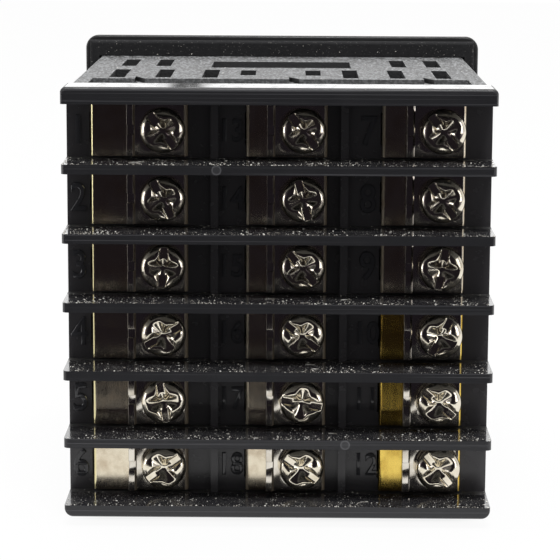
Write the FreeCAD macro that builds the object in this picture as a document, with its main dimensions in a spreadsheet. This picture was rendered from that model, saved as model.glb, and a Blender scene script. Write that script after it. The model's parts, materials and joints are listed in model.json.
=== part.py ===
import FreeCAD, Part
import math
import os

import Sketcher

# A panel-mounted process controller in the 48 mm square format, seen from its wiring side at -Y.
# The origin is the centre of the panel cut-out on the panel's front surface: +Y points to the
# operator, +Z is up, and "behind" in a name is a distance behind the panel, along -Y.
SIZES = {
    # front bezel, its gasket and what sits in it
    "bezel_side": 48.0,
    "bezel_overhang": 1.8,
    "bezel_rise": 0.7,
    "bezel_draft": 4.5,
    "bezel_thickness": 8.0,
    "bezel_front_wall": 2.0,
    "bezel_corner_radius": 1.6,
    "bezel_front_round": 1.0,
    "bezel_rear_round": 0.3,
    "gasket_thickness": 1.0,
    "gasket_margin": 0.6,
    "gasket_round": 0.4,
    "gasket_clearance": 0.05,
    "window_width": 39.0,
    "window_height": 23.0,
    "window_thickness": 1.4,
    "window_corner_radius": 1.2,
    "window_clearance": 0.1,
    "window_drop": 16.4,
    "aperture_margin": 1.6,
    "key_width": 7.2,
    "key_height": 4.4,
    "key_pitch": 9.6,
    "key_inset": 9.4,
    "key_corner_radius": 0.9,
    "key_edge_round": 0.4,
    "key_proud": 0.5,
    "key_clearance": 0.2,
    "key_flange_margin": 0.6,
    "key_flange_thickness": 0.8,
    "key_seat_gap": 0.1,
    "key_stem_diameter": 1.8,
    "key_stem_length": 0.2,
    "key_switch_gap": 0.4,
    # moulded case
    "case_wall": 1.6,
    "case_corner_radius": 0.6,
    "case_socket_depth": 2.0,
    "case_socket_clearance": 0.1,
    "vent_width": 1.7,
    "front_vent_behind": 10.4,
    "front_vent_length": 9.6,
    "front_vent_inner_inset": 8.6,
    "front_vent_outer_inset": 4.6,
    "rear_vent_setback": 6.8,
    "rear_vent_length": 10.4,
    "rear_vent_inner_inset": 14.5,
    "rear_vent_middle_inset": 9.4,
    "rear_vent_outer_inset": 4.4,
    "short_vent_setback": 8.2,
    "short_vent_length": 6.6,
    "short_vent_inset": 18.6,
    "recess_behind": 12.6,
    "recess_length": 8.7,
    "recess_width": 16.0,
    "recess_depth": 0.7,
    "wedge_width": 1.1,
    "wedge_length": 2.8,
    "wedge_depth": 0.5,
    "wedge_left_x": -15.2,
    "wedge_middle_x": 1.5,
    "wedge_right_x": 16.1,
    # terminal block
    "depth_behind_panel": 48.6,
    "barrier_depth": 6.75,
    "barrier": 1.0,
    "end_barrier": 1.25,
    "barrier_corner_radius": 0.6,
    "foot_corner_radius": 0.9,
    "lip_round": 0.35,
    "lip_proud": 0.5,
    "lip_depth": 5.0,
    "block_flange": 1.7,
    "plug_depth": 3.7,
    "plug_clearance": 0.15,
    "tongue_inset": 1.9,
    "tongue_length": 8.0,
    "tongue_drop": 1.0,
    "tongue_wall": 1.0,
    "tongue_clearance": 0.2,
    "latch_width": 4.7,
    "latch_length": 5.2,
    "latch_height": 0.35,
    "latch_left_x": -5.4,
    "latch_right_x": 9.0,
    "latch_setback": 1.0,
    "partition": 0.8,
    "partition_depth": 1.0,
    "partition_left_x": -6.75,
    "partition_right_x": 6.8,
    # terminals: plates, clamp washers and screws
    "left_inset": 10.15,
    "middle_x": 2.5,
    "right_inset": 5.25,
    "left_plate_reach": 7.6,
    "middle_plate_reach": 5.95,
    "right_plate_reach": 6.25,
    "plate_right_reach": 2.5,
    "plate_thickness": 0.8,
    "plate_side_gap": 0.2,
    "plate_edge_round": 0.45,
    "tail_width": 3.0,
    "tail_overlap": 3.0,
    "tail_clearance": 0.15,
    "washer_left_reach": 3.75,
    "washer_right_reach": 2.2,
    "washer_side_gap": 0.35,
    "washer_thickness": 0.8,
    "washer_corner_radius": 0.5,
    "washer_hole_clearance": 0.2,
    "fold_width": 0.7,
    "fold_height": 0.5,
    "fold_notch": 0.9,
    "head_diameter": 4.7,
    "head_height": 2.1,
    "head_round": 1.1,
    "slot_width": 0.8,
    "slot_depth": 1.0,
    "cross_length": 3.0,
    "shank_diameter": 3.0,
    "shank_length": 6.0,
    "shank_tip": 0.4,
    "shank_clearance": 0.05,
    "screw_hole_clearance": 0.3,
    "screw_hole_spare": 0.5,
    # boards and parts inside
    "board_thickness": 1.6,
    "board_edge_gap": 1.3,
    "board_plug_gap": 0.5,
    "board_front_gap": 3.0,
    "display_board_margin": 0.6,
    "display_width": 34.0,
    "display_height": 18.0,
    "display_thickness": 2.2,
    "switch_side": 4.0,
    "connector_height": 20.0,
    "connector_thickness": 2.5,
    "connector_overlap": 4.0,
    "transformer_front_gap": 4.0,
    "transformer_rise": 9.0,
    "transformer_length": 15.0,
    "transformer_width": 13.0,
    "transformer_height": 9.8,
    "bobbin_margin": 1.4,
    "bobbin_flange": 1.0,
    "relay_front_gap": 2.0,
    "relay_drop": 10.5,
    "relay_length": 20.0,
    "relay_width": 10.0,
    "relay_height": 9.5,
    "relay_round": 0.6,
    "capacitor_diameter": 8.0,
    "capacitor_height": 9.8,
    "capacitor_setback": 1.3,
    "capacitor_rise": 9.0,
    "capacitor_pitch": 9.0,
    "capacitor_chamfer": 0.6,
    "chip_side": 10.0,
    "chip_thickness": 1.4,
    "chip_front_gap": 11.0,
}
ROWS = 6
KEY_NAMES = ("key_mode", "key_shift", "key_down", "key_up")

# The columns in the order of their terminal numbers, with the turn in degrees at which each screw's
# slot stands, from the top row down, counter-clockwise from +X as seen from the wiring side.
SLOT_TURNS = {
    "left": (-53, -63, 86, 30, -80, 35),
    "right": (-52, -55, 80, 62, -40, -50),
    "middle": (-52, -75, -50, -38, -10, -35),
}

doc = FreeCAD.newDocument("process_controller")
sheet = doc.addObject("Spreadsheet::Sheet", "sizes")
for row, (name, value) in enumerate(SIZES.items(), 1):
    sheet.set(f"A{row}", name)
    sheet.set(f"B{row}", str(value))
    sheet.setAlias(f"B{row}", name)
doc.recompute()


def s(name):
    """A size as it is written in an expression."""
    return f"sizes.{name}"


def value(expression):
    """The number that an expression gives with the sheet as it stands."""
    return float(sheet.evalExpression(expression))


# Places worked out from the sizes. Each is a distance behind the panel, so the front is negative.
BEZEL_REAR = f"(-{s('gasket_thickness')})"
BEZEL_FRONT = f"(-{s('gasket_thickness')} - {s('bezel_thickness')})"
POCKET_FLOOR = f"({BEZEL_FRONT} + {s('bezel_front_wall')})"
CASE_FRONT = f"({BEZEL_REAR} - {s('case_socket_depth')})"
DISPLAY_BOARD_FRONT = f"({CASE_FRONT} - {s('board_thickness')})"
WALL_FACE = f"({s('depth_behind_panel')} - {s('barrier_depth')})"
CASE_END = f"({WALL_FACE} - {s('block_flange')})"
PLUG_END = f"({CASE_END} - {s('plug_depth')})"
PLATE_FACE = f"({WALL_FACE} + {s('plate_thickness')})"
WASHER_FACE = f"({PLATE_FACE} + {s('washer_thickness')})"
BOARD_REAR = f"({PLUG_END} - {s('board_plug_gap')})"
BOARD_FRONT = f"({CASE_FRONT} + {s('board_front_gap')})"
TAIL_END = f"({BOARD_REAR} - {s('tail_overlap')})"
NOTCH_EDGE = f"({CASE_END} - {s('tongue_length')})"

WINDOW_Z = f"({s('bezel_rise')} + {s('bezel_side')} / 2 - {s('window_drop')})"
KEY_Z = f"({s('bezel_rise')} + {s('key_inset')} - {s('bezel_side')} / 2)"
CASE_SIDE = f"({s('bezel_side')} - 2 * {s('bezel_overhang')})"
HALF_CASE = f"({CASE_SIDE} / 2)"
HALF_INSIDE = f"({HALF_CASE} - {s('case_wall')})"
ALL_BARRIERS = f"(2 * {s('end_barrier')} + {ROWS - 1} * {s('barrier')})"
CELL = f"(({CASE_SIDE} - {ALL_BARRIERS}) / {ROWS})"
PITCH = f"({CELL} + {s('barrier')})"
PLATE_HEIGHT = f"({CELL} - 2 * {s('plate_side_gap')})"
WASHER_HEIGHT = f"({CELL} - 2 * {s('washer_side_gap')})"
TOP_ROW = f"({HALF_CASE} - {s('end_barrier')} - {CELL} / 2)"
COLUMN_X = {
    "left": f"({s('left_inset')} - {HALF_CASE})",
    "right": f"({HALF_CASE} - {s('right_inset')})",
    "middle": s("middle_x"),
}


def row_z(row):
    """The height of a row of terminals, counted from the top."""
    return f"({TOP_ROW} - {row} * {PITCH})"


def plate_left(column):
    """The x of a column's plates at their left edge, where their tails go in."""
    return f"({COLUMN_X[column]} - {s(column + '_plate_reach')})"


def board_left(column):
    """The x of a board's left face, which lies against the tails of its column of plates."""
    return f"({plate_left(column)} + {s('plate_thickness')})"


def new_body(label):
    made = doc.addObject("PartDesign::Body", label)
    made.Label = label
    made.AllowCompound = True
    return made


def origin_feature(body, role):
    return next(f for f in body.Origin.OriginFeatures if f.Role == role)


def new_sketch(body, plane, at):
    """A sketch on one of the body's own planes, moved by an expression along that plane's normal.

    On XZ_Plane the normal is -Y, so "at" is a distance behind the panel.
    """
    made = body.newObject("Sketcher::SketchObject", f"{body.Label}_sketch")
    made.AttachmentSupport = [(origin_feature(body, plane), "")]
    made.MapMode = "FlatFace"
    made.setExpression("AttachmentOffset.Base.z", at)
    return made


def bind(sketch, kind, geometry, point, value):
    """Dimensions a point from the sketch's origin."""
    number = sketch.addConstraint(Sketcher.Constraint(kind, -1, 1, geometry, point, 1.0))
    sketch.setExpression(f"Constraints[{number}]", value)


def outline(sketch, corners):
    """A closed outline through corners given as pairs of expressions."""
    first, count = sketch.GeometryCount, len(corners)
    turn = [2 * math.pi * n / count for n in range(count + 1)]
    ring = [FreeCAD.Vector(math.cos(a), math.sin(a), 0) for a in turn]
    for start, end in zip(ring, ring[1:]):
        sketch.addGeometry(Part.LineSegment(start, end))
    for n in range(count):
        follower = first + (n + 1) % count
        sketch.addConstraint(Sketcher.Constraint("Coincident", first + n, 2, follower, 1))
    for n, (x, y) in enumerate(corners):
        bind(sketch, "DistanceX", first + n, 1, x)
        bind(sketch, "DistanceY", first + n, 1, y)


def rectangle(sketch, left, right, low, high):
    outline(sketch, [(left, low), (right, low), (right, high), (left, high)])


def centred(sketch, x, y, width, height):
    """A rectangle about a centre."""
    rectangle(
        sketch,
        f"{x} - {width} / 2",
        f"{x} + {width} / 2",
        f"{y} - {height} / 2",
        f"{y} + {height} / 2",
    )


def circle(sketch, x, y, radius):
    ring = Part.Circle(FreeCAD.Vector(0, 0, 0), FreeCAD.Vector(0, 0, 1), 1.0)
    number = sketch.addGeometry(ring)
    bind(sketch, "DistanceX", number, 3, x)
    bind(sketch, "DistanceY", number, 3, y)
    fixed = sketch.addConstraint(Sketcher.Constraint("Radius", number, 1.0))
    sketch.setExpression(f"Constraints[{fixed}]", radius)


def pad(sketch, length, backwards=False):
    """Pads a sketch along its plane's normal, or the other way."""
    body = sketch.getParentGeoFeatureGroup()
    made = body.newObject("PartDesign::Pad", f"{body.Label}_pad")
    made.Profile = sketch
    made.Reversed = backwards
    made.setExpression("Length", length)
    doc.recompute()
    return made


def pocket(sketch, depth=None, both_ways=False):
    """Cuts a sketch against its plane's normal, to a depth or through everything."""
    body = sketch.getParentGeoFeatureGroup()
    before = body.Tip.Shape.Volume
    made = body.newObject("PartDesign::Pocket", f"{body.Label}_pocket")
    made.Profile = sketch
    if depth is None:
        made.Type = "ThroughAll"
    else:
        made.setExpression("Length", depth)
    if both_ways:
        made.SideType = "Symmetric"
    doc.recompute()
    if made.Shape.Volume >= before:
        raise RuntimeError(f"{made.Name} cuts nothing")
    return made


def dress(body, kind, amount, chosen):
    """A fillet or chamfer on the edges of the body's last feature that pass a test."""
    base = body.Tip
    names = [f"Edge{n}" for n, edge in enumerate(base.Shape.Edges, 1) if chosen(edge)]
    if not names:
        raise RuntimeError(f"no edge of {body.Label} to {kind.lower()}")
    made = body.newObject(f"PartDesign::{kind}", f"{body.Label}_{kind.lower()}")
    made.Base = (base, names)
    made.setExpression("Radius" if kind == "Fillet" else "Size", amount)
    doc.recompute()
    return made


def near(a, b):
    return abs(a - b) < 1e-4


def along(axis):
    """A test for straight edges that run along an axis."""

    def chosen(edge):
        spans = {"x": edge.BoundBox.XLength, "y": edge.BoundBox.YLength, "z": edge.BoundBox.ZLength}
        return spans.pop(axis) > 1e-4 and max(spans.values()) < 1e-4

    return chosen


def lies_behind(distance, beyond="0"):
    """A test for edges in one plane behind the panel that reach further than so far from the Y axis."""
    y, least = -value(distance), value(beyond)

    def chosen(edge):
        box = edge.BoundBox
        reach = max(abs(box.XMin), abs(box.XMax), abs(box.ZMin), abs(box.ZMax))
        return near(box.YMin, y) and near(box.YMax, y) and reach > least

    return chosen


def corners_at(height, reach):
    """A test for straight edges along Y that lie so far above or below a height."""
    middle, away = value(height), value(reach)

    def chosen(edge):
        return along("y")(edge) and near(abs(edge.BoundBox.ZMin - middle), away)

    return chosen


def make_bezel():
    body = new_body("front_bezel")
    half = f"({s('bezel_side')} / 2 - {s('bezel_thickness')} * tan({s('bezel_draft')} * 1 deg))"
    rise = s("bezel_rise")
    face = new_sketch(body, "XZ_Plane", BEZEL_FRONT)
    rectangle(face, f"-{half}", half, f"{rise} - {half}", f"{rise} + {half}")
    widening = pad(face, s("bezel_thickness"))
    widening.setExpression("TaperAngle", f"{s('bezel_draft')} * 1 deg")
    doc.recompute()
    deep = value(s("bezel_thickness"))
    dress(body, "Fillet", s("bezel_corner_radius"), lambda edge: near(edge.BoundBox.YLength, deep))
    dress(body, "Fillet", s("bezel_front_round"), lies_behind(BEZEL_FRONT))
    dress(body, "Fillet", s("bezel_rear_round"), lies_behind(BEZEL_REAR))
    socket = new_sketch(body, "XZ_Plane", BEZEL_REAR)
    half_socket = f"({HALF_CASE} + {s('case_socket_clearance')})"
    rectangle(socket, f"-{half_socket}", half_socket, f"-{half_socket}", half_socket)
    pocket(socket, f"{s('bezel_thickness')} - {s('bezel_front_wall')}")
    seat = new_sketch(body, "XZ_Plane", f"{BEZEL_FRONT} + {s('window_thickness')}")
    width = f"({s('window_width')} + 2 * {s('window_clearance')})"
    height = f"({s('window_height')} + 2 * {s('window_clearance')})"
    centred(seat, "0", WINDOW_Z, width, height)
    pocket(seat)
    radius = f"{s('window_corner_radius')} + {s('window_clearance')}"
    dress(body, "Fillet", radius, corners_at(WINDOW_Z, f"{height} / 2"))
    aperture = new_sketch(body, "XZ_Plane", POCKET_FLOOR)
    inner_width = f"({s('window_width')} - 2 * {s('aperture_margin')})"
    inner_height = f"({s('window_height')} - 2 * {s('aperture_margin')})"
    centred(aperture, "0", WINDOW_Z, inner_width, inner_height)
    pocket(aperture)
    openings = new_sketch(body, "XZ_Plane", POCKET_FLOOR)
    width = f"({s('key_width')} + 2 * {s('key_clearance')})"
    height = f"({s('key_height')} + 2 * {s('key_clearance')})"
    for number in range(len(KEY_NAMES)):
        centred(openings, key_x(number), KEY_Z, width, height)
    pocket(openings)
    radius = f"{s('key_corner_radius')} + {s('key_clearance')}"
    dress(body, "Fillet", radius, corners_at(KEY_Z, f"{height} / 2"))
    return body


def key_x(number):
    """The x of a key. They stand in one row, and the first is at the operator's left."""
    return f"({s('key_pitch')} * {(len(KEY_NAMES) - 1) / 2 - number})"


def make_window():
    body = new_body("display_window")
    face = new_sketch(body, "XZ_Plane", BEZEL_FRONT)
    centred(face, "0", WINDOW_Z, s("window_width"), s("window_height"))
    pad(face, s("window_thickness"))
    dress(body, "Fillet", s("window_corner_radius"), along("y"))
    return body


def make_gasket():
    body = new_body("panel_gasket")
    ring = new_sketch(body, "XZ_Plane", BEZEL_REAR)
    inside = f"({HALF_CASE} + {s('gasket_clearance')})"
    outside = f"({s('bezel_side')} / 2 - {s('gasket_margin')})"
    rise = s("bezel_rise")
    rectangle(ring, f"-{outside}", outside, f"{rise} - {outside}", f"{rise} + {outside}")
    rectangle(ring, f"-{inside}", inside, f"-{inside}", inside)
    pad(ring, s("gasket_thickness"))
    dress(body, "Fillet", s("gasket_round"), lies_behind("0", f"{inside} + {s('gasket_round')}"))
    return body


def make_key(number):
    """A key cap with the flange that keeps it behind the bezel's front wall."""
    body = new_body(KEY_NAMES[number])
    front = f"(-{s('bezel_front_wall')} - {s('key_proud')})"
    cap = new_sketch(body, "XZ_Plane", front)
    centred(cap, "0", "0", s("key_width"), s("key_height"))
    pad(cap, f"{s('key_seat_gap')} - {front}")
    dress(body, "Fillet", s("key_corner_radius"), along("y"))
    dress(body, "Fillet", s("key_edge_round"), lies_behind(front))
    flange = new_sketch(body, "XZ_Plane", s("key_seat_gap"))
    margin = s("key_flange_margin")
    centred(flange, "0", "0", f"({s('key_width')} + 2 * {margin})", f"({s('key_height')} + 2 * {margin})")
    pad(flange, s("key_flange_thickness"))
    stem = new_sketch(body, "XZ_Plane", f"{s('key_seat_gap')} + {s('key_flange_thickness')}")
    circle(stem, "0", "0", f"{s('key_stem_diameter')} / 2")
    pad(stem, s("key_stem_length"))
    body.setExpression("Placement.Base.x", key_x(number))
    body.setExpression("Placement.Base.y", f"-{POCKET_FLOOR}")
    body.setExpression("Placement.Base.z", KEY_Z)
    return body


def make_case():
    body = new_body("case")
    tube = new_sketch(body, "XZ_Plane", CASE_FRONT)
    rectangle(tube, f"-{HALF_CASE}", HALF_CASE, f"-{HALF_CASE}", HALF_CASE)
    rectangle(tube, f"-{HALF_INSIDE}", HALF_INSIDE, f"-{HALF_INSIDE}", HALF_INSIDE)
    pad(tube, f"{CASE_END} - {CASE_FRONT}")
    half = value(HALF_CASE)

    def outer_corner(edge):
        box = edge.BoundBox
        return along("y")(edge) and near(abs(box.XMin), half) and near(abs(box.ZMin), half)

    dress(body, "Fillet", s("case_corner_radius"), outer_corner)
    cut_vents(body)
    recess = new_sketch(body, "XY_Plane", HALF_CASE)
    centred(recess, "0", f"-{s('recess_behind')}", s("recess_width"), s("recess_length"))
    pocket(recess, s("recess_depth"))
    notch = new_sketch(body, "XY_Plane", HALF_CASE)
    reach = f"({HALF_CASE} - {s('tongue_inset')})"
    rectangle(notch, f"-{reach}", reach, f"-{CASE_END}", f"-{NOTCH_EDGE}")
    pocket(notch, s("case_wall"))
    wedges = new_sketch(body, "XY_Plane", HALF_CASE)
    for side in ("left", "middle", "right"):
        left = f"{s(f'wedge_{side}_x')} - {s('wedge_width')} / 2"
        right = f"{s(f'wedge_{side}_x')} + {s('wedge_width')} / 2"
        tip = f"{s('wedge_length')} - {NOTCH_EDGE}"
        outline(wedges, [(left, f"-{NOTCH_EDGE}"), (right, f"-{NOTCH_EDGE}"), (left, tip)])
    pocket(wedges, s("wedge_depth"))
    return body


def cut_vents(body):
    """Slots through the top and bottom walls, drawn on one side and mirrored to the other."""
    front = s("front_vent_behind")
    rear = f"({NOTCH_EDGE} - {s('rear_vent_setback')})"
    short = f"({NOTCH_EDGE} - {s('short_vent_setback')})"
    vents = {
        "front_vent_inner_inset": (front, s("front_vent_length")),
        "front_vent_outer_inset": (front, s("front_vent_length")),
        "rear_vent_inner_inset": (rear, s("rear_vent_length")),
        "rear_vent_middle_inset": (rear, s("rear_vent_length")),
        "rear_vent_outer_inset": (rear, s("rear_vent_length")),
        "short_vent_inset": (short, s("short_vent_length")),
    }
    slots = new_sketch(body, "XY_Plane", "0")
    for inset, (behind, length) in vents.items():
        centred(slots, f"({HALF_CASE} - {s(inset)})", f"-{behind}", s("vent_width"), length)
    cut = pocket(slots, both_ways=True)
    mirrored = body.newObject("PartDesign::Mirrored", "case_mirrored_vents")
    mirrored.Originals = [cut]
    mirrored.MirrorPlane = (origin_feature(body, "YZ_Plane"), [""])
    body.Tip = mirrored
    doc.recompute()


def down_the_rows(body, feature, sketch, count):
    """Repeats a feature down the rows of terminals."""
    made = body.newObject("PartDesign::LinearPattern", f"{body.Label}_rows")
    made.Originals = [feature]
    made.Direction = (sketch, ["V_Axis"])
    made.Reversed = True
    made.Occurrences = count
    made.setExpression("Length", f"{count - 1} * {PITCH}")
    body.Tip = made
    doc.recompute()


def make_block():
    body = new_body("terminal_block")
    flange = new_sketch(body, "XZ_Plane", CASE_END)
    rectangle(flange, f"-{HALF_CASE}", HALF_CASE, f"-{HALF_CASE}", HALF_CASE)
    pad(flange, s("block_flange"))
    add_barriers(body)
    plug = new_sketch(body, "XZ_Plane", PLUG_END)
    half_plug = f"({HALF_INSIDE} - {s('plug_clearance')})"
    rectangle(plug, f"-{half_plug}", half_plug, f"-{half_plug}", half_plug)
    pad(plug, s("plug_depth"))
    add_tongue(body)
    partitions = new_sketch(body, "XZ_Plane", WALL_FACE)
    inner = f"({HALF_CASE} - {s('end_barrier')} / 2)"
    for side in ("left", "right"):
        x = s(f"partition_{side}_x")
        rectangle(
            partitions,
            f"{x} - {s('partition')} / 2",
            f"{x} + {s('partition')} / 2",
            f"-{inner}",
            inner,
        )
    pad(partitions, s("partition_depth"))
    hole_depth = f"({s('shank_length')} - {s('washer_thickness')} - {s('plate_thickness')}"
    holes = new_sketch(body, "XZ_Plane", WALL_FACE)
    for column in SLOT_TURNS:
        radius = f"{s('shank_diameter')} / 2 + {s('screw_hole_clearance')}"
        circle(holes, COLUMN_X[column], row_z(0), radius)
    cut = pocket(holes, f"{hole_depth} + {s('screw_hole_spare')})")
    down_the_rows(body, cut, holes, ROWS)
    slots = new_sketch(body, "XZ_Plane", WALL_FACE)
    gap = s("tail_clearance")
    for column in SLOT_TURNS:
        rectangle(
            slots,
            f"{plate_left(column)} - {gap}",
            f"{board_left(column)} + {gap}",
            f"{row_z(0)} - {s('tail_width')} / 2 - {gap}",
            f"{row_z(0)} + {s('tail_width')} / 2 + {gap}",
        )
    cut = pocket(slots)
    down_the_rows(body, cut, slots, ROWS)
    return body


def add_barriers(body):
    """The ledges between the rows, thicker at the top and the bottom."""
    ends = new_sketch(body, "XZ_Plane", WALL_FACE)
    rectangle(ends, f"-{HALF_CASE}", HALF_CASE, f"{HALF_CASE} - {s('end_barrier')}", HALF_CASE)
    rectangle(ends, f"-{HALF_CASE}", HALF_CASE, f"-{HALF_CASE}", f"-{HALF_CASE} + {s('end_barrier')}")
    pad(ends, s("barrier_depth"))
    ledge = new_sketch(body, "XZ_Plane", WALL_FACE)
    top = f"({row_z(0)} - {CELL} / 2)"
    rectangle(ledge, f"-{HALF_CASE}", HALF_CASE, f"{top} - {s('barrier')}", top)
    made = pad(ledge, s("barrier_depth"))
    down_the_rows(body, made, ledge, ROWS - 1)
    half, rear = value(HALF_CASE), -value(s("depth_behind_panel"))
    between = value(f"{HALF_CASE} - {s('end_barrier')}")

    def long_corner(height):
        def chosen(edge):
            box = edge.BoundBox
            return along("y")(edge) and near(abs(box.XMin), half) and near(box.ZMin, height)

        return chosen

    def barrier_corner(edge):
        box = edge.BoundBox
        at_end = near(abs(box.XMin), half) and near(box.YMin, rear)
        return along("z")(edge) and at_end and abs(box.ZMin) < between

    def rear_edge(height):
        def chosen(edge):
            return along("x")(edge) and near(edge.BoundBox.ZMin, height) and near(edge.BoundBox.YMin, rear)

        return chosen

    dress(body, "Fillet", s("case_corner_radius"), long_corner(half))
    dress(body, "Fillet", s("foot_corner_radius"), long_corner(-half))
    dress(body, "Fillet", s("barrier_corner_radius"), barrier_corner)
    dress(body, "Fillet", s("lip_round"), rear_edge(-half))
    lip = new_sketch(body, "XZ_Plane", f"{s('depth_behind_panel')} - {s('lip_depth')}")
    lip_top = f"({HALF_CASE} + {s('lip_proud')})"
    rectangle(lip, f"-{HALF_CASE}", HALF_CASE, f"{HALF_CASE} - {s('end_barrier')}", lip_top)
    pad(lip, s("lip_depth"))
    dress(body, "Fillet", s("case_corner_radius"), long_corner(value(lip_top)))
    dress(body, "Fillet", s("lip_round"), rear_edge(value(lip_top)))


def add_tongue(body):
    """The ledge that fills the notch in the case's top, with the two latches that hold the case."""
    front = f"({NOTCH_EDGE} + {s('tongue_clearance')})"
    tongue = new_sketch(body, "XZ_Plane", front)
    reach = f"({HALF_CASE} - {s('tongue_inset')} - {s('tongue_clearance')})"
    low = f"{HALF_INSIDE} - {s('tongue_wall')}"
    rectangle(tongue, f"-{reach}", reach, low, f"{HALF_CASE} - {s('tongue_drop')}")
    pad(tongue, f"{CASE_END} - {front}")
    latches = new_sketch(body, "XY_Plane", f"{HALF_CASE} - {s('tongue_drop')}")
    rear = f"(-{CASE_END} + {s('latch_setback')})"
    for side in ("left", "right"):
        x = s(f"latch_{side}_x")
        rectangle(
            latches,
            f"{x} - {s('latch_width')} / 2",
            f"{x} + {s('latch_width')} / 2",
            rear,
            f"{rear} + {s('latch_length')}",
        )
    pad(latches, s("latch_height"))


def make_plates(label, column, rows):
    """A column's terminal plates, each with a tail that goes through the block to a board."""
    body = new_body(label)
    plates = new_sketch(body, "XZ_Plane", WALL_FACE)
    x = COLUMN_X[column]
    for row in rows:
        low = f"{row_z(row)} - {PLATE_HEIGHT} / 2"
        high = f"{row_z(row)} + {PLATE_HEIGHT} / 2"
        rectangle(plates, plate_left(column), f"{x} + {s('plate_right_reach')}", low, high)
    pad(plates, s("plate_thickness"))
    ends = (value(plate_left(column)), value(f"{x} + {s('plate_right_reach')}"))
    face = -value(PLATE_FACE)

    def side_edge(edge):
        box = edge.BoundBox
        at_end = any(near(box.XMin, end) for end in ends)
        return along("z")(edge) and at_end and near(box.YMin, face)

    dress(body, "Fillet", s("plate_edge_round"), side_edge)
    tails = new_sketch(body, "XZ_Plane", WALL_FACE)
    holes = new_sketch(body, "XZ_Plane", WALL_FACE)
    for row in rows:
        low = f"{row_z(row)} - {s('tail_width')} / 2"
        high = f"{row_z(row)} + {s('tail_width')} / 2"
        rectangle(tails, plate_left(column), board_left(column), low, high)
        circle(holes, x, row_z(row), f"{s('shank_diameter')} / 2 + {s('shank_clearance')}")
    pad(tails, f"{WALL_FACE} - {TAIL_END}", backwards=True)
    pocket(holes, both_ways=True)
    return body


def make_washer(label, column, row):
    """A square clamp washer with a folded lip, notched at its middle, on the wire's side."""
    body = new_body(label)
    left, right = f"-{s('washer_left_reach')}", s("washer_right_reach")
    half = f"{WASHER_HEIGHT} / 2"
    sheet_metal = new_sketch(body, "XZ_Plane", "0")
    rectangle(sheet_metal, left, right, f"-{half}", half)
    circle(sheet_metal, "0", "0", f"{s('shank_diameter')} / 2 + {s('washer_hole_clearance')}")
    pad(sheet_metal, s("washer_thickness"))
    dress(body, "Fillet", s("washer_corner_radius"), lambda edge: along("y")(edge) and edge.BoundBox.XMin > 0)
    lip = new_sketch(body, "XZ_Plane", s("washer_thickness"))
    rectangle(lip, left, f"{left} + {s('fold_width')}", f"{s('fold_notch')} / 2", half)
    rectangle(lip, left, f"{left} + {s('fold_width')}", f"-{half}", f"-{s('fold_notch')} / 2")
    pad(lip, s("fold_height"))
    body.setExpression("Placement.Base.x", COLUMN_X[column])
    body.setExpression("Placement.Base.y", f"-{PLATE_FACE}")
    body.setExpression("Placement.Base.z", row_z(row))
    return body


def make_screw(label, column, row, turn):
    """A pan-head screw with a slot and a cross, turned about +Z and then laid along -Y."""
    body = new_body(label)
    shank, head = f"{s('shank_diameter')} / 2", f"{s('head_diameter')} / 2"
    profile = new_sketch(body, "XZ_Plane", "0")
    tip = f"-{s('shank_length')}"
    outline(
        profile,
        [
            ("0", tip),
            (f"{shank} - {s('shank_tip')}", tip),
            (shank, f"{tip} + {s('shank_tip')}"),
            (shank, "0"),
            (head, "0"),
            (head, s("head_height")),
            ("0", s("head_height")),
        ],
    )
    turned = body.newObject("PartDesign::Revolution", f"{label}_revolution")
    turned.Profile = profile
    turned.ReferenceAxis = (profile, ["V_Axis"])
    turned.Angle = 360
    doc.recompute()
    top = value(s("head_height"))

    def head_edge(edge):
        box = edge.BoundBox
        return near(box.ZMin, top) and near(box.ZMax, top)

    dress(body, "Fillet", s("head_round"), head_edge)
    slot = new_sketch(body, "XY_Plane", s("head_height"))
    centred(slot, "0", "0", f"(2 * {s('head_diameter')})", s("slot_width"))
    pocket(slot, s("slot_depth"))
    cross = new_sketch(body, "XY_Plane", s("head_height"))
    centred(cross, "0", "0", s("slot_width"), s("cross_length"))
    pocket(cross, s("slot_depth"))
    laid = FreeCAD.Rotation(FreeCAD.Vector(1, 0, 0), 90)
    spun = FreeCAD.Rotation(FreeCAD.Vector(0, 0, 1), turn)
    body.Placement = FreeCAD.Placement(FreeCAD.Vector(0, 0, 0), laid * spun)
    body.setExpression("Placement.Base.x", COLUMN_X[column])
    body.setExpression("Placement.Base.y", f"-{WASHER_FACE}")
    body.setExpression("Placement.Base.z", row_z(row))
    return body


def make_board(label, column):
    """An upright board soldered to one column's tails."""
    body = new_body(label)
    face = new_sketch(body, "YZ_Plane", board_left(column))
    half = f"({HALF_INSIDE} - {s('board_edge_gap')})"
    rectangle(face, f"-{BOARD_REAR}", f"-{BOARD_FRONT}", f"-{half}", half)
    pad(face, s("board_thickness"))
    return body


def make_connectors():
    """The sockets that join the three upright boards to the display board."""
    body = new_body("board_connectors")
    half = f"{s('connector_height')} / 2"
    profile = new_sketch(body, "XY_Plane", f"-{half}")
    for column in SLOT_TURNS:
        x = f"({board_left(column)} + {s('board_thickness')})"
        rectangle(
            profile,
            x,
            f"{x} + {s('connector_thickness')}",
            f"-{BOARD_FRONT} - {s('connector_overlap')}",
            f"-{CASE_FRONT}",
        )
    pad(profile, s("connector_height"))
    return body


def make_display_board():
    body = new_body("display_board")
    face = new_sketch(body, "XZ_Plane", DISPLAY_BOARD_FRONT)
    half = f"({HALF_CASE} - {s('display_board_margin')})"
    rectangle(face, f"-{half}", half, f"-{half}", half)
    pad(face, s("board_thickness"))
    return body


def make_display():
    body = new_body("led_display")
    face = new_sketch(body, "XZ_Plane", f"{DISPLAY_BOARD_FRONT} - {s('display_thickness')}")
    centred(face, "0", WINDOW_Z, s("display_width"), s("display_height"))
    pad(face, s("display_thickness"))
    return body


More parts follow.
